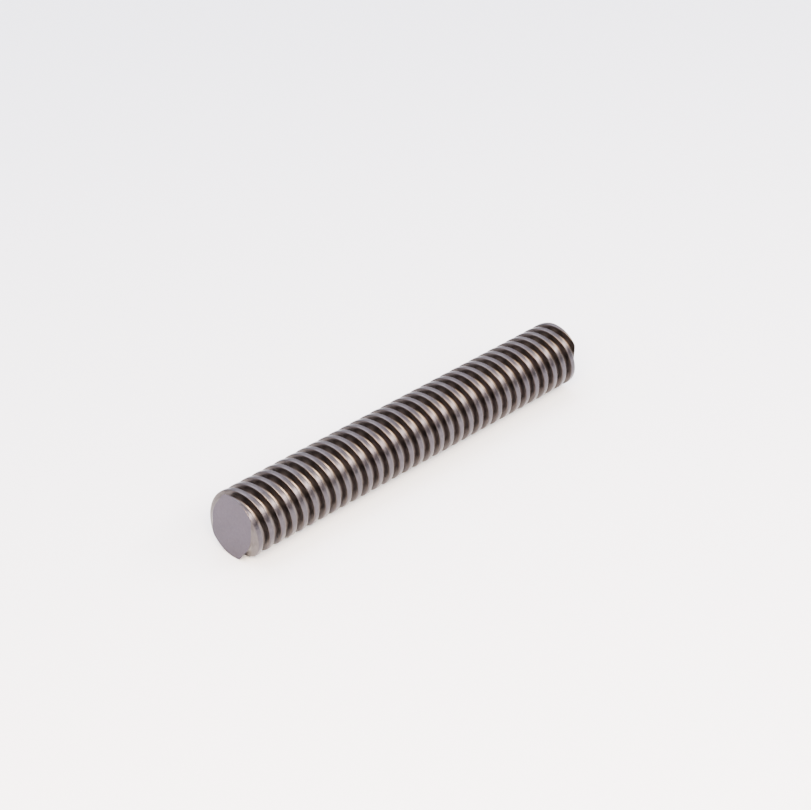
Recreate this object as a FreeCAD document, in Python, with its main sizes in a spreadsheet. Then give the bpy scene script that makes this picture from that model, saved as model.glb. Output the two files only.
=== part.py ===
"""A length of two-start trapezoidal lead screw, 24x10 P5: one bare rolled spindle with square-sawn ends.

Frame, in millimetres: +X along the screw's axis from the cut end into the bar, +Z up, and the origin at the
centre of the cut end's face. The thread is right-handed: it moves along +X as it turns from +Y towards +Z.
"""
import FreeCAD, Part

import math
import os

import Sketcher
from FreeCAD import Vector

NODE = "screw_spindle"

# Driving dimensions, in millimetres and degrees. A cell holds the number, and its alias is the name.
DIMENSIONS = {
    "OutsideDia": (24, "outside diameter, over the crests"),
    "BarLength": (160, "length between the two sawn faces"),
    "CrestSpacing": (5, "distance along the axis from one crest to the next"),
    "StartCount": (2, "separate thread starts"),
    "FlankAngle": (15, "lean of each flank from square to the axis"),
    "RootClearance": (0.25, "extra depth that keeps a nut's crest off the root"),
    "RootRound": (0.4, "radius in both corners of the groove's floor"),
    "CrestRound": (0.6, "radius on both edges of the crest"),
    "CrestMeet": (25, "slope left where the crest's radius runs into the crest cylinder"),
    "FirstGroove": (1.95, "distance along the top, from the cut face to the first groove's middle"),
    "SawAllowance": (10, "spare stock at each end, sawn off once the thread is formed"),
    "SawOverrun": (1, "how far each saw cut passes beyond the spare stock"),
    "SawSweep": (36, "diameter that each saw cut clears"),
    "RunUp": (3, "crest spacings by which the first groove starts ahead of the cut face"),
    "RunOut": (4, "crest spacings by which each groove's path is longer than the stock"),
    "CutterRise": (0.14, "how far the groove's section stands clear of the crests"),
}

# Sizes worked out from the driving dimensions, in the sheet's own formulas.
WORKED_OUT = {
    "GrooveDepth": ("=0.5 * CrestSpacing + RootClearance", "depth from crest to root"),
    "RootDia": ("=OutsideDia - 2 * GrooveDepth", "diameter of the core"),
    "PitchDia": ("=OutsideDia - 0.5 * CrestSpacing", "diameter where groove and ridge are equally wide"),
    "PitchWidth": ("=0.5 * CrestSpacing", "width of groove and of ridge at the pitch diameter"),
    "LidDia": ("=OutsideDia + 2 * CutterRise", "diameter on which the groove's section closes"),
    "ThreadLead": ("=CrestSpacing * StartCount", "travel of a nut in one turn"),
    "StockLength": ("=BarLength + 2 * SawAllowance", "length before sawing"),
    "HelixLength": ("=StockLength + RunOut * CrestSpacing", "axial length of each groove's path"),
    "SawDepth": ("=SawAllowance + SawOverrun", "length that each saw cut takes away"),
}

# The four pieces of one side of a groove's section, in order from its floor outwards.
ROOT_ARC, FLANK, CREST_ARC, LEAD_OUT = range(4)

VOLUME_TOLERANCE = 0.02


def make_sheet(document):
    """Fill the spreadsheet, one dimension to a row: its name, its value and what it is."""
    sheet = document.addObject("Spreadsheet::Sheet", "Dimensions")
    rows = {name: (str(value), note) for name, (value, note) in DIMENSIONS.items()}
    rows.update(WORKED_OUT)
    for row, (name, (content, note)) in enumerate(rows.items(), start=1):
        sheet.set(f"A{row}", name)
        sheet.set(f"B{row}", content)
        sheet.set(f"C{row}", note)
        sheet.setAlias(f"B{row}", name)
    document.recompute()
    return sheet


def origin_plane(body, role):
    """The body's own XY, XZ or YZ plane."""
    return next(feature for feature in body.Origin.OriginFeatures if feature.Role == role)


def new_sketch(body, name, role):
    """An empty sketch on one of the body's origin planes."""
    sketch = body.newObject("Sketcher::SketchObject", name)
    sketch.AttachmentSupport = [(origin_plane(body, role), "")]
    sketch.MapMode = "FlatFace"
    return sketch


def bind(sketch, constraint, name, expression):
    """Add a constraint under a name, and drive it from the sheet."""
    index = sketch.addConstraint(constraint)
    sketch.renameConstraint(index, name)
    sketch.setExpression(f"Constraints.{name}", expression)


def draw_disc(sketch, sheet, cell):
    """A circle about the screw's axis, with the diameter that a cell of the sheet gives."""
    diameter = float(getattr(sheet, cell))
    circle = sketch.addGeometry(Part.Circle(Vector(), Vector(0, 0, 1), diameter / 2), False)
    sketch.addConstraint(Sketcher.Constraint("Coincident", circle, 3, -1, 1))
    bind(sketch, Sketcher.Constraint("Diameter", circle, diameter), "diameter", f"Dimensions.{cell}")


def make_stock(body, sheet):
    """The round bar before threading, with spare length at both ends."""
    sketch = new_sketch(body, "stock_section", "YZ_Plane")
    draw_disc(sketch, sheet, "OutsideDia")
    sketch.setExpression("AttachmentOffset.Base.z", "-Dimensions.SawAllowance")
    stock = body.newObject("PartDesign::Pad", "stock")
    stock.Profile = sketch
    stock.setExpression("Length", "Dimensions.StockLength")
    return stock


def groove_side(sheet, middle, side):
    """One side of a groove's section, from its floor out past the crest: two arcs and two straight lines.

    side is 1 for the right and -1 for the left, which is the right's mirror image about the middle.
    """
    lean = math.radians(sheet.FlankAngle)
    meet = math.radians(sheet.CrestMeet)
    crest = sheet.OutsideDia / 2
    root = sheet.RootDia / 2
    floor_half = sheet.PitchWidth / 2 - (sheet.PitchDia / 2 - root) * math.tan(lean)

    def beside_flank(height, offset):
        """The point at this height that lies this far square off the flank, away from the groove."""
        out = floor_half + ((height - root) * math.sin(lean) + offset) / math.cos(lean)
        return Vector(middle + side * out, height)

    def arc(centre, radius, first, last):
        """An arc between two angles, which are swapped and mirrored on the left."""
        if side < 0:
            first, last = math.pi - last, math.pi - first
        return Part.ArcOfCircle(Part.Circle(centre, Vector(0, 0, 1), radius), first, last)

    def point(centre, radius, angle):
        """The point on an arc at an angle, which is mirrored on the left."""
        return centre + Vector(side * radius * math.cos(angle), radius * math.sin(angle))

    root_centre = beside_flank(root + sheet.RootRound, -sheet.RootRound)
    crest_centre = beside_flank(crest - sheet.CrestRound * math.cos(meet), sheet.CrestRound)
    flank_foot = point(root_centre, sheet.RootRound, -lean)
    flank_head = point(crest_centre, sheet.CrestRound, math.pi - lean)
    crest_end = point(crest_centre, sheet.CrestRound, math.pi / 2 + meet)
    tip = crest_end + Vector(side * sheet.CutterRise / math.tan(meet), sheet.CutterRise)
    return [
        arc(root_centre, sheet.RootRound, -math.pi / 2, -lean),
        Part.LineSegment(flank_foot, flank_head),
        arc(crest_centre, sheet.CrestRound, math.pi / 2 + meet, math.pi - lean),
        Part.LineSegment(crest_end, tip),
    ]


def shared_point(sketch, one, other):
    """The end numbers, 1 or 2, at which two pieces of the section meet."""
    def gap(pair):
        return (sketch.getPoint(one, pair[0]) - sketch.getPoint(other, pair[1])).Length

    return min([(first, second) for first in (1, 2) for second in (1, 2)], key=gap)


def free_end(sketch, piece, neighbour):
    """The end number, 1 or 2, of the end of a piece that doesn't meet its neighbour."""
    return 3 - shared_point(sketch, piece, neighbour)[0]


def make_groove(body, sheet, start):
    """Cut one start's groove: a section beside the stock, taken along its helix right through the bar."""
    crests_ahead = int(sheet.RunUp) + start
    middle = sheet.FirstGroove - crests_ahead * sheet.CrestSpacing
    sketch = new_sketch(body, f"groove_section_{start + 1}", "XZ_Plane")
    right = [sketch.addGeometry(piece, False) for piece in groove_side(sheet, middle, 1)]
    left = [sketch.addGeometry(piece, False) for piece in groove_side(sheet, middle, -1)]
    close_section(sketch, right, left)
    centreline = add_centreline(sketch, sheet, middle, crests_ahead)
    mirror_sides(sketch, right, left, centreline)
    size_right_side(sketch, sheet, right)
    size_width(sketch, sheet, right[FLANK], centreline, middle)
    groove = body.newObject("PartDesign::SubtractiveHelix", f"groove_{start + 1}")
    groove.Profile = sketch
    groove.ReferenceAxis = (sketch, ["H_Axis"])
    groove.Mode = "pitch-height-angle"
    groove.LeftHanded = False
    groove.setExpression("Pitch", "Dimensions.ThreadLead")
    groove.setExpression("Height", "Dimensions.HelixLength")
    return groove


def close_section(sketch, right, left):
    """Close the section below with the groove's floor, and above with a line clear of the crests."""
    for piece, neighbour, kind in ((ROOT_ARC, FLANK, "Tangent"), (LEAD_OUT, CREST_ARC, "Coincident")):
        left_end = (left[piece], free_end(sketch, left[piece], left[neighbour]))
        right_end = (right[piece], free_end(sketch, right[piece], right[neighbour]))
        points = sketch.getPoint(*left_end), sketch.getPoint(*right_end)
        line = sketch.addGeometry(Part.LineSegment(*points), False)
        sketch.addConstraint(Sketcher.Constraint(kind, line, 2, *right_end))
        sketch.addConstraint(Sketcher.Constraint("Coincident", line, 1, *left_end))


def add_centreline(sketch, sheet, middle, crests_ahead):
    """A construction line up the section's middle, placed by whole crest spacings from the first groove."""
    pitch_radius = sheet.PitchDia / 2
    line = sketch.addGeometry(Part.LineSegment(Vector(middle, 0), Vector(middle, pitch_radius)), True)
    sketch.addConstraint(Sketcher.Constraint("Vertical", line))
    sketch.addConstraint(Sketcher.Constraint("PointOnObject", line, 1, -1))
    ahead = Sketcher.Constraint("DistanceX", line, 1, -1, 1, -middle)
    place = f"{crests_ahead} * Dimensions.CrestSpacing - Dimensions.FirstGroove"
    bind(sketch, ahead, "ahead_of_cut_face", place)
    height = Sketcher.Constraint("DistanceY", -1, 1, line, 2, pitch_radius)
    bind(sketch, height, "pitch_radius", "Dimensions.PitchDia / 2")
    return line


def mirror_sides(sketch, right, left, centreline):
    """Join each side's pieces, and make the left side's points and radii follow the right side's."""
    for inner, outer in ((ROOT_ARC, FLANK), (FLANK, CREST_ARC), (CREST_ARC, LEAD_OUT)):
        left_ends = shared_point(sketch, left[inner], left[outer])
        right_ends = shared_point(sketch, right[inner], right[outer])
        join_right = (right[inner], right_ends[0], right[outer], right_ends[1])
        join_left = (left[inner], left_ends[0], left[outer], left_ends[1])
        across = (left[inner], left_ends[0], right[inner], right_ends[0])
        sketch.addConstraint(Sketcher.Constraint("Tangent", *join_right))
        sketch.addConstraint(Sketcher.Constraint("Coincident", *join_left))
        sketch.addConstraint(Sketcher.Constraint("Symmetric", *across, centreline))
    for piece, neighbour in ((ROOT_ARC, FLANK), (LEAD_OUT, CREST_ARC)):
        left_end = (left[piece], free_end(sketch, left[piece], left[neighbour]))
        right_end = (right[piece], free_end(sketch, right[piece], right[neighbour]))
        sketch.addConstraint(Sketcher.Constraint("Symmetric", *left_end, *right_end, centreline))
    for arc in (ROOT_ARC, CREST_ARC):
        sketch.addConstraint(Sketcher.Constraint("Equal", right[arc], left[arc]))


def size_right_side(sketch, sheet, right):
    """Drive the right side's heights, slopes and radii from the sheet."""
    floor_end = free_end(sketch, right[ROOT_ARC], right[FLANK])
    crest_end = free_end(sketch, right[CREST_ARC], right[FLANK])
    heights = (
        ("root_radius", right[ROOT_ARC], floor_end, "RootDia"),
        ("crest_radius", right[CREST_ARC], crest_end, "OutsideDia"),
        ("lid_radius", right[LEAD_OUT], 2, "LidDia"),
    )
    for name, piece, end, cell in heights:
        height = Sketcher.Constraint("DistanceY", -1, 1, piece, end, getattr(sheet, cell) / 2)
        bind(sketch, height, name, f"Dimensions.{cell} / 2")
    flank_rise = Sketcher.Constraint("Angle", right[FLANK], math.radians(90 - sheet.FlankAngle))
    bind(sketch, flank_rise, "flank_rise", "90 - Dimensions.FlankAngle")
    crest_slope = Sketcher.Constraint("Angle", right[LEAD_OUT], math.radians(sheet.CrestMeet))
    bind(sketch, crest_slope, "crest_slope", "Dimensions.CrestMeet")
    rounds = (("root_round", ROOT_ARC, "RootRound"), ("crest_round", CREST_ARC, "CrestRound"))
    for name, piece, cell in rounds:
        radius = Sketcher.Constraint("Radius", right[piece], getattr(sheet, cell))
        bind(sketch, radius, name, f"Dimensions.{cell}")


def size_width(sketch, sheet, flank, centreline, middle):
    """Set the groove's width at the pitch diameter, by a construction line across it."""
    height = sheet.PitchDia / 2
    half = sheet.PitchWidth / 2
    ends = Vector(middle - half, height), Vector(middle + half, height)
    across = sketch.addGeometry(Part.LineSegment(*ends), True)
    sketch.addConstraint(Sketcher.Constraint("Symmetric", across, 1, across, 2, centreline, 2))
    sketch.addConstraint(Sketcher.Constraint("Horizontal", across))
    sketch.addConstraint(Sketcher.Constraint("PointOnObject", across, 2, flank))
    width = Sketcher.Constraint("Distance", across, 2 * half)
    bind(sketch, width, "width_at_pitch", "Dimensions.PitchWidth")


def saw_end(body, sheet, name, place, reverse):
    """Saw the spare stock off one end, square to the axis. place says where, and reverse cuts towards +X."""
    sketch = new_sketch(body, f"{name}_face", "YZ_Plane")
    draw_disc(sketch, sheet, "SawSweep")
    sketch.setExpression("AttachmentOffset.Base.z", place)
    cut = body.newObject("PartDesign::Pocket", name)
    cut.Profile = sketch
    cut.Reversed = reverse
    cut.setExpression("Length", "Dimensions.SawDepth")
    return cut


def groove_volume(sheet, length):
    """The metal that one groove takes out of a bar this long, its corner radii left out (Pappus's rule)."""
    lean = math.tan(math.radians(sheet.FlankAngle))

    def inner(radius):
        """The integral of radius times the groove's width there."""
        return (sheet.PitchWidth - sheet.PitchDia * lean) / 2 * radius ** 2 + lean * radius ** 3 * 2 / 3

    section = inner(sheet.OutsideDia / 2) - inner(sheet.RootDia / 2)
    return 2 * math.pi * length / sheet.ThreadLead * section


def compare(name, found, expected):
    """Stop if a cut took out more or less metal than it should."""
    print(f"{name}: {found:.1f} mm3, {expected:.1f} expected")
    if abs(found - expected) > VOLUME_TOLERANCE * expected:
        raise RuntimeError(f"{name} changed the volume by {found:.1f} mm3, not {expected:.1f}")


def make_spindle(document, sheet):
    """Thread the stock with one groove per start, then saw both ends square."""
    body = document.addObject("PartDesign::Body", NODE)
    body.Label = NODE
    last = make_stock(body, sheet)
    document.recompute()
    for start in range(int(sheet.StartCount)):
        before = last.Shape.Volume
        last = make_groove(body, sheet, start)
        body.Tip = last
        document.recompute()
        compare(last.Name, before - last.Shape.Volume, groove_volume(sheet, sheet.StockLength))
    per_length = last.Shape.Volume / sheet.StockLength
    for name, place, reverse in (("near_saw_cut", "0", False), ("far_saw_cut", "Dimensions.BarLength", True)):
        before = last.Shape.Volume
        last = saw_end(body, sheet, name, place, reverse)
        body.Tip = last
        document.recompute()
        compare(name, before - last.Shape.Volume, per_length * sheet.SawAllowance)
    return body


def check(document, bodies):
    """Stop if an object failed, a sketch can still move, or a body isn't one valid, closed solid."""
    for thing in document.Objects:
        if {"Invalid", "Error"} & set(thing.State):
            raise RuntimeError(f"{thing.Name} failed: {thing.State}")
        if thing.isDerivedFrom("Sketcher::SketchObject") and not thing.FullyConstrained:
            raise RuntimeError(f"{thing.Name} isn't fully constrained")
    for body in bodies:
        shape = body.Shape
        if shape.isNull() or not shape.isValid() or len(shape.Solids) != 1:
            raise RuntimeError(f"{body.Label} isn't one valid solid")


def main():
    document = FreeCAD.newDocument("lead_screw")
    sheet = make_sheet(document)
    spindle = make_spindle(document, sheet)
    document.recompute()
    check(document, [spindle])
    os.makedirs("parts", exist_ok=True)
    spindle.Shape.exportStep(f"parts/{spindle.Label}.step")
    box = spindle.Shape.optimalBoundingBox()
    print(f"{spindle.Label}: {box.XMin:.3f} to {box.XMax:.3f} mm along X, {spindle.Shape.Volume:.1f} mm3")


main()
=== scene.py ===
"""Looks for a length of two-start trapezoidal lead screw. Metres, in the CAD frame: +X along the bar, +Z up.

The bar is remade as a mesh that follows the thread. It differs from the CAD solid in two small ways: its root and
crest roundings have other radii, and its ends are deburred.
"""
import math

import bmesh
import bpy
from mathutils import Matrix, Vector


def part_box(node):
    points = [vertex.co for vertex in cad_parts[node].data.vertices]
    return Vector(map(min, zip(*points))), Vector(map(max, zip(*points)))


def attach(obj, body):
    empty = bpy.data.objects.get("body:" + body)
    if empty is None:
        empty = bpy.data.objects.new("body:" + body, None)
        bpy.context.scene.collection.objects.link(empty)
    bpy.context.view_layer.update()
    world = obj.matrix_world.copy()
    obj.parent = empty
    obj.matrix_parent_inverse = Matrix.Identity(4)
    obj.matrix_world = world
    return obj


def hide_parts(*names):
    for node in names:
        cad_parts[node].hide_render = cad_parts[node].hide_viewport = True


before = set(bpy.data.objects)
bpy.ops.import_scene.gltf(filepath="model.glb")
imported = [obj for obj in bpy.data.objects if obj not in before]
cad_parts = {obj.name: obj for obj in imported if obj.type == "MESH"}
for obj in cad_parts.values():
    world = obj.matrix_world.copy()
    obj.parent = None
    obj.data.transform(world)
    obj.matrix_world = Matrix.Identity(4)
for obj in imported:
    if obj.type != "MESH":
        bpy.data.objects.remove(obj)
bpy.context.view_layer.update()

MM = 0.001
NODE = "screw_spindle"

# The bar's own size, from the frame.
BAR_LOW, BAR_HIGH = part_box(NODE)
CREST = (BAR_HIGH.z - BAR_LOW.z) / 2
LENGTH = BAR_HIGH.x - BAR_LOW.x

# The thread, as the CAD cuts it: two starts, 5 mm from crest to crest.
PITCH = 5 * MM
STARTS = 2
LEAD = STARTS * PITCH
DEPTH = 2.75 * MM
ROOT = CREST - DEPTH
PITCH_RADIUS = CREST - PITCH / 4
FLANK = math.radians(15)
FIRST_GROOVE = 1.95 * MM

# Fine shape. The root's rounding is larger than the CAD's and the crest's is smaller. The CAD has no deburred rims.
ROOT_FILLET = 1.1 * MM
CREST_FILLET = 0.4 * MM
DEBURR = 0.1 * MM

# Mesh fineness. The thread is made this many crest spacings too long at each end, and then sawn to length.
AROUND = 192
ARC_STEPS = 5
FLANK_STEPS = 3
SPARE_BEFORE = STARTS + 3
SPARE_AFTER = STARTS + 1

# Distances that count as nothing, and how squarely a face has to look along the bar to be an end.
WELD = 1e-9
ON_END = 1e-7
SQUARE_ON = 0.999

# The camera stands off to the cut end's side, above the bar, and looks at a point a little above its middle.
CAMERA_BEARING = math.radians(44.5)
CAMERA_ELEVATION = math.radians(31.35)
CAMERA_DISTANCE = 719.1 * MM
CAMERA_AIM = Vector((80.8, 0.0, 11.4)) * MM
CAMERA_LENS = 92.1
CAMERA_SENSOR = 36.0
CAMERA_NEAR = 0.01

# Softboxes: name, bearing and elevation in degrees, distance, long and short side, colour, watts.
SOFTBOXES = (
    ("warm_light", -140, 42, 0.75, (0.5, 0.25), (1.0, 0.74, 0.48), 31),
    ("long_light", -66, 39, 0.75, (1.1, 0.14), (1.0, 0.85, 0.72), 22),
    ("top_light", 100, 70, 1.2, (1.2, 0.8), (0.97, 0.96, 1.0), 22),
)

# The dome's colour by height, from the horizon at 0 up. Behind the bar the same colours sit lower down.
DOME_HORIZON = (0.0, (0.05, 0.05, 0.05, 1))
DOME_LOW = (0.25, (0.08, 0.07, 0.08, 1))
DOME_MIDDLE = (0.5, (0.55, 0.53, 0.57, 1))
DOME_HIGH = (0.75, (0.98, 0.95, 1.0, 1))
DOME_LIFT_BEHIND = 0.3
DOME_STRENGTH = 4.1

# The floor.
FLOOR_HALF = 3.0
FLOOR_COLOUR = (0.61, 0.65, 0.74, 1)
FLOOR_ROUGHNESS = 0.9
FLOOR_GLOW = 0.1

# How noise, which gathers round its middle, is stretched to the full range of a blend.
NARROW_BAND = (0.35, 0.65)
WIDE_BAND = (0.3, 0.7)

# Rolled steel. Noise is given as its scale, detail and roughness.
STREAKS = (260.0, 4.0, 0.6)
STREAK_STRETCH = 9.0
MOTTLE = (900.0, 3.0, 0.5)
CLOUDS = (70.0, 2.0, 0.5)
# The grooves' colours are lighter and browner than the crests': painted bounce light, over the steel's own tone.
GROOVE_COLOURS_WITH_PAINTED_BOUNCE = ((0.062, 0.054, 0.051, 1), (0.092, 0.081, 0.078, 1))
CREST_COLOURS = ((0.055, 0.050, 0.056, 1), (0.068, 0.062, 0.069, 1))
CLOUD_TINTS = ((0.90, 0.88, 0.90, 1), (1.0, 1.0, 1.0, 1))
CREST_COLOUR_FROM = CREST - 0.3 * MM
CREST_COLOUR_FULL = CREST - 0.03 * MM
CREST_COLOUR_WANDER = 0.06 * MM
GROOVE_GLOSS = (0.28, 0.38)
CREST_GLOSS = (0.28, 0.34)
STREAK_RELIEF = 0.7
MOTTLE_RELIEF = 0.5
ROLLED_RELIEF = 0.003 * MM

# Sawn steel. The blade's marks are arcs about a point well off the bar.
BLADE_Y = 0.12
BLADE_Z = -0.05
SAW_MARKS = (3200.0, 3.0, 0.65)
SAWN_GRAIN = (900.0, 4.0, 0.6)
SAWN_CLOUDS = (120.0, 2.0, 0.5)
SAWN_COLOURS = ((0.060, 0.053, 0.066, 1), (0.075, 0.066, 0.083, 1))
SAWN_PATCHES = ((0.063, 0.056, 0.069, 1), (0.074, 0.065, 0.082, 1))
PATCH_SHARE = 0.4
SAWN_GLOSS = (0.50, 0.62)
SAWN_RELIEF = 0.02 * MM


class Nodes:
    """Short calls for building a node tree."""

    def __init__(self, tree):
        self.tree = tree

    def feed(self, socket, value):
        """Link an output to a socket, or set the socket to a plain value."""
        if isinstance(value, bpy.types.NodeSocket):
            self.tree.links.new(value, socket)
        else:
            socket.default_value = value

    def math(self, operation, *values):
        node = self.tree.nodes.new("ShaderNodeMath")
        node.operation = operation
        for socket, value in zip(node.inputs, values):
            self.feed(socket, value)
        return node.outputs[0]

    def coordinates(self, kind):
        """Object gives the point's own place on the object, in metres. Generated, in a world, gives a direction."""
        return self.tree.nodes.new("ShaderNodeTexCoord").outputs[kind]

    def split(self, vector):
        node = self.tree.nodes.new("ShaderNodeSeparateXYZ")
        self.feed(node.inputs[0], vector)
        return node.outputs

    def join(self, x, y, z):
        node = self.tree.nodes.new("ShaderNodeCombineXYZ")
        for socket, value in zip(node.inputs, (x, y, z)):
            self.feed(socket, value)
        return node.outputs[0]

    def noise(self, vector, settings):
        node = self.tree.nodes.new("ShaderNodeTexNoise")
        self.feed(node.inputs["Vector"], vector)
        for name, number in zip(("Scale", "Detail", "Roughness"), settings):
            node.inputs[name].default_value = number
        return node.outputs["Fac"]

    def spread(self, value, band, result=(0.0, 1.0)):
        """Map a band of values onto another range, with soft ends."""
        node = self.tree.nodes.new("ShaderNodeMapRange")
        node.interpolation_type = "SMOOTHSTEP"
        self.feed(node.inputs["Value"], value)
        for name, number in zip(("From Min", "From Max", "To Min", "To Max"), (*band, *result)):
            node.inputs[name].default_value = number
        return node.outputs["Result"]

    def mix(self, share, first, second, blend="MIX"):
        """Blend two colours."""
        node = self.tree.nodes.new("ShaderNodeMix")
        node.data_type = "RGBA"
        node.blend_type = blend
        self.feed(node.inputs["Factor"], share)
        self.feed(node.inputs["A"], first)
        self.feed(node.inputs["B"], second)
        return node.outputs["Result"]

    def bump(self, height, distance):
        node = self.tree.nodes.new("ShaderNodeBump")
        node.inputs["Strength"].default_value = 1.0
        node.inputs["Distance"].default_value = distance
        self.feed(node.inputs["Height"], height)
        return node.outputs["Normal"]


# Camera, floor and light


def direction(bearing, elevation):
    """The unit vector that points along a bearing and up by an elevation, both in radians."""
    level = math.cos(elevation)
    return Vector((level * math.cos(bearing), level * math.sin(bearing), math.sin(elevation)))


def make_camera():
    """A long lens with no shift and no depth of field."""
    forward = direction(CAMERA_BEARING, -CAMERA_ELEVATION)
    data = bpy.data.cameras.new("camera")
    data.lens = CAMERA_LENS
    data.sensor_width = CAMERA_SENSOR
    data.clip_start = CAMERA_NEAR
    camera = bpy.data.objects.new("camera", data)
    camera.location = CAMERA_AIM - forward * CAMERA_DISTANCE
    camera.rotation_euler = forward.to_track_quat("-Z", "Y").to_euler()
    bpy.context.scene.collection.objects.link(camera)
    bpy.context.scene.camera = camera


def add_softbox(name, bearing, elevation, distance, size, colour, power):
    """A rectangular lamp that faces the bar's middle, its long side level."""
    away = direction(math.radians(bearing), math.radians(elevation))
    data = bpy.data.lights.new(name, "AREA")
    data.shape = "RECTANGLE"
    data.size, data.size_y = size
    data.energy = power
    data.color = colour
    lamp = bpy.data.objects.new(name, data)
    lamp.location = Vector((LENGTH / 2, 0, 0)) + away * distance
    lamp.rotation_euler = (-away).to_track_quat("-Z", "Y").to_euler()
    bpy.context.scene.collection.objects.link(lamp)


def make_studio():
    """A pale dome that is dim at the near horizon, and the softboxes."""
    world = bpy.data.worlds.new("studio")
    bpy.context.scene.world = world
    world.use_nodes = True
    n = Nodes(world.node_tree)
    toward = n.split(n.coordinates("Generated"))
    behind = n.math("MAXIMUM", toward["Y"], 0.0)
    height = n.math("MULTIPLY_ADD", behind, DOME_LIFT_BEHIND, toward["Z"])
    ramp = n.tree.nodes.new("ShaderNodeValToRGB")
    n.feed(ramp.inputs["Fac"], height)
    stops = ramp.color_ramp.elements
    stops[0].position, stops[0].color = DOME_HORIZON
    stops[1].position, stops[1].color = DOME_HIGH
    for position, colour in (DOME_LOW, DOME_MIDDLE):
        stops.new(position).color = colour
    background = n.tree.nodes["Background"]
    n.feed(background.inputs["Color"], ramp.outputs["Color"])
    background.inputs["Strength"].default_value = DOME_STRENGTH
    for softbox in SOFTBOXES:
        add_softbox(*softbox)


def make_floor():
    """A plain pale sheet under the bar."""
    floor = bpy.data.objects.new("floor", bpy.data.meshes.new("floor"))
    signs = ((-1, -1), (1, -1), (1, 1), (-1, 1))
    corners = [(x * FLOOR_HALF, y * FLOOR_HALF, BAR_LOW.z) for x, y in signs]
    floor.data.from_pydata(corners, [], [(0, 1, 2, 3)])
    bpy.context.scene.collection.objects.link(floor)
    material = bpy.data.materials.new("pale_paper")
    material.use_nodes = True
    shader = material.node_tree.nodes["Principled BSDF"]
    shader.inputs["Base Color"].default_value = FLOOR_COLOUR
    shader.inputs["Roughness"].default_value = FLOOR_ROUGHNESS
    shader.inputs["Emission Color"].default_value = (1, 1, 1, 1)
    shader.inputs["Emission Strength"].default_value = FLOOR_GLOW
    floor.data.materials.append(material)


# The threaded bar


def arc(centre, radius, first, last):
    """Points along an arc, both ends included, as (distance from the groove's middle, radius from the axis)."""
    angles = [first + (last - first) * step / ARC_STEPS for step in range(ARC_STEPS + 1)]
    return [(centre[0] + radius * math.cos(a), centre[1] + radius * math.sin(a)) for a in angles]


def beside_flank(height, offset):
    """The point at this height that lies this far square off the flank, away from the groove."""
    on_flank = PITCH / 4 + (height - PITCH_RADIUS) * math.tan(FLANK)
    return (on_flank + offset / math.cos(FLANK), height)


def half_section():
    """The thread's outline from the groove's middle to the crest's middle."""
    root_centre = beside_flank(ROOT + ROOT_FILLET, -ROOT_FILLET)
    root_arc = arc(root_centre, ROOT_FILLET, -math.pi / 2, -FLANK)
    crest_centre = beside_flank(CREST - CREST_FILLET, CREST_FILLET)
    crest_arc = arc(crest_centre, CREST_FILLET, math.pi - FLANK, math.pi / 2)
    low, high = root_arc[-1], crest_arc[0]
    shares = [step / FLANK_STEPS for step in range(1, FLANK_STEPS)]
    flank = [(low[0] + (high[0] - low[0]) * s, low[1] + (high[1] - low[1]) * s) for s in shares]
    return [(0.0, ROOT)] + root_arc + flank + crest_arc + [(PITCH / 2, CREST)]


def thread_section():
    """The whole outline over one crest spacing, its last point left to the next one."""
    half = half_section()
    return half + [(PITCH - along, radius) for along, radius in reversed(half[1:-1])]


def make_thread(bm):
    """Skin the bar with a grid that follows the helix: one column of points for each step round the bar."""
    section = thread_section()
    spacings = range(-SPARE_BEFORE, math.ceil(LENGTH / PITCH) + SPARE_AFTER)
    columns = []
    for step in range(AROUND):
        turn = step / AROUND
        sine = math.sin(math.tau * turn)
        cosine = math.cos(math.tau * turn)
        column = []
        for spacing in spacings:
            start = FIRST_GROOVE + spacing * PITCH + LEAD * turn
            for along, radius in section:
                column.append(bm.verts.new((start + along, -radius * sine, radius * cosine)))
        columns.append(column)
    # After a whole turn the helix has moved on by the number of starts, so the last column meets the first there.
    columns.append(columns[0][STARTS * len(section):])
    for column, beside in zip(columns, columns[1:]):
        for row in range(min(len(column), len(beside)) - 1):
            bm.faces.new((column[row], column[row + 1], beside[row + 1], beside[row]))


def cut_square(bm, place, outward, discard):
    """Cut the mesh square across at a place along the bar. What lies outward of the cut can be discarded."""
    bmesh.ops.bisect_plane(
        bm,
        geom=bm.verts[:] + bm.edges[:] + bm.faces[:],
        dist=WELD,
        plane_co=(place, 0, 0),
        plane_no=(outward, 0, 0),
        clear_outer=discard,
    )


def saw_ends(bm):
    """Cut both ends square, deburr their edges, and close them."""
    for place, outward in ((0.0, -1), (LENGTH, 1)):
        cut_square(bm, place, outward, True)
        cut_square(bm, place - outward * DEBURR, outward, False)
        for vert in bm.verts:
            from_end = abs(vert.co.x - place)
            if from_end < DEBURR:
                radius = math.hypot(vert.co.y, vert.co.z)
                keep = min(1.0, (CREST - DEBURR + from_end) / radius)
                vert.co.y *= keep
                vert.co.z *= keep
        open_edges = [edge for edge in bm.edges if edge.is_boundary]
        rim = [edge for edge in open_edges if all(abs(vert.co.x - place) < ON_END for vert in edge.verts)]
        bmesh.ops.contextual_create(bm, geom=rim)


def make_spindle():
    """The finished bar, which stands for the CAD solid and rides where it does. Its ends take the sawn steel."""
    bm = bmesh.new()
    make_thread(bm)
    saw_ends(bm)
    bmesh.ops.recalc_face_normals(bm, faces=bm.faces[:])
    for face in bm.faces:
        is_end = abs(face.normal.x) > SQUARE_ON
        face.smooth = not is_end
        face.material_index = 1 if is_end else 0
    mesh = bpy.data.meshes.new("rolled_thread")
    bm.to_mesh(mesh)
    bm.free()
    spindle = bpy.data.objects.new("rolled_thread", mesh)
    bpy.context.scene.collection.objects.link(spindle)
    mesh.materials.append(rolled_steel())
    mesh.materials.append(sawn_steel())
    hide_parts(NODE)
    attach(spindle, "root")


# Materials


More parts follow.
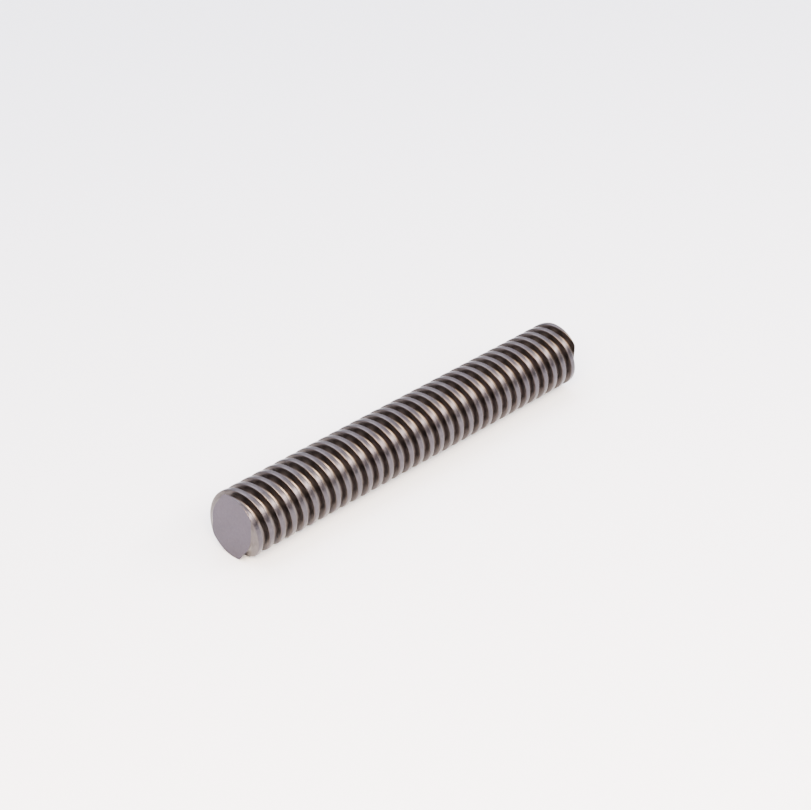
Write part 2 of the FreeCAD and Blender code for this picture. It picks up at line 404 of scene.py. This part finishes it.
def make_steel(name):
    """A new metallic material, its shader, and the calls that build its nodes."""
    material = bpy.data.materials.new(name)
    material.use_nodes = True
    shader = material.node_tree.nodes["Principled BSDF"]
    shader.inputs["Metallic"].default_value = 1.0
    return material, shader, Nodes(material.node_tree)


def rolled_steel():
    """Rolled steel: dark satin metal, faintly lilac on the crests. The grooves are lighter and browner than the
    crests: painted bounce light from the warm lamps, over the steel's own tone.
    """
    material, shader, n = make_steel("rolled_steel")
    spot = n.coordinates("Object")
    x, y, z = n.split(spot)
    radius = n.math("SQRT", n.math("ADD", n.math("MULTIPLY", y, y), n.math("MULTIPLY", z, z)))
    # Distance across the thread, folded so that it rises from a groove's middle to a crest's and falls again.
    turn = n.math("DIVIDE", n.math("ARCTAN2", n.math("MULTIPLY", y, -1.0), z), math.tau)
    across = n.math("SUBTRACT", n.math("SUBTRACT", x, FIRST_GROOVE), n.math("MULTIPLY", turn, LEAD))
    folded = n.math("PINGPONG", across, PITCH / 2)
    # Streaks run along the thread: fine across it, long round the bar.
    streaks = n.noise(n.join(n.math("MULTIPLY", folded, STREAK_STRETCH), y, z), STREAKS)
    mottle = n.noise(spot, MOTTLE)
    clouds = n.noise(spot, CLOUDS)
    # Where the groove's colour gives way to the crest's wanders a little.
    wander = n.math("MULTIPLY", n.math("SUBTRACT", mottle, 0.5), CREST_COLOUR_WANDER)
    on_crest = n.spread(n.math("ADD", radius, wander), (CREST_COLOUR_FROM, CREST_COLOUR_FULL))
    # Painted bounce light: the groove's colour is lighter and browner than the crest's.
    groove_colour_with_painted_bounce = n.mix(n.spread(streaks, NARROW_BAND), *GROOVE_COLOURS_WITH_PAINTED_BOUNCE)
    crest_colour = n.mix(n.spread(mottle, WIDE_BAND), *CREST_COLOURS)
    tint = n.mix(n.spread(clouds, WIDE_BAND), *CLOUD_TINTS)
    colour = n.mix(1.0, n.mix(on_crest, groove_colour_with_painted_bounce, crest_colour), tint, "MULTIPLY")
    n.feed(shader.inputs["Base Color"], colour)
    groove_gloss = n.spread(streaks, WIDE_BAND, GROOVE_GLOSS)
    crest_gloss = n.spread(mottle, WIDE_BAND, CREST_GLOSS)
    change = n.math("MULTIPLY", on_crest, n.math("SUBTRACT", crest_gloss, groove_gloss))
    n.feed(shader.inputs["Roughness"], n.math("ADD", groove_gloss, change))
    streak_relief = n.math("MULTIPLY", streaks, STREAK_RELIEF)
    mottle_relief = n.math("MULTIPLY", mottle, MOTTLE_RELIEF)
    n.feed(shader.inputs["Normal"], n.bump(n.math("ADD", streak_relief, mottle_relief), ROLLED_RELIEF))
    return material


def sawn_steel():
    """A sawn end: matte lilac-grey with faint, slightly curved saw marks."""
    material, shader, n = make_steel("sawn_steel")
    spot = n.coordinates("Object")
    _, y, z = n.split(spot)
    from_blade_y = n.math("POWER", n.math("SUBTRACT", y, BLADE_Y), 2.0)
    from_blade_z = n.math("POWER", n.math("SUBTRACT", z, BLADE_Z), 2.0)
    blade = n.math("SQRT", n.math("ADD", from_blade_y, from_blade_z))
    marks = n.noise(n.join(blade, 0.0, 0.0), SAW_MARKS)
    grain = n.noise(spot, SAWN_GRAIN)
    clouds = n.noise(spot, SAWN_CLOUDS)
    mixed = n.math("ADD", n.math("MULTIPLY", marks, 0.5), n.math("MULTIPLY", grain, 0.5))
    colour = n.mix(n.spread(mixed, NARROW_BAND), *SAWN_COLOURS)
    patches = n.mix(n.spread(clouds, WIDE_BAND), *SAWN_PATCHES)
    n.feed(shader.inputs["Base Color"], n.mix(PATCH_SHARE, colour, patches))
    n.feed(shader.inputs["Roughness"], n.spread(grain, WIDE_BAND, SAWN_GLOSS))
    n.feed(shader.inputs["Normal"], n.bump(mixed, SAWN_RELIEF))
    return material


make_camera()
make_studio()
make_floor()
make_spindle()
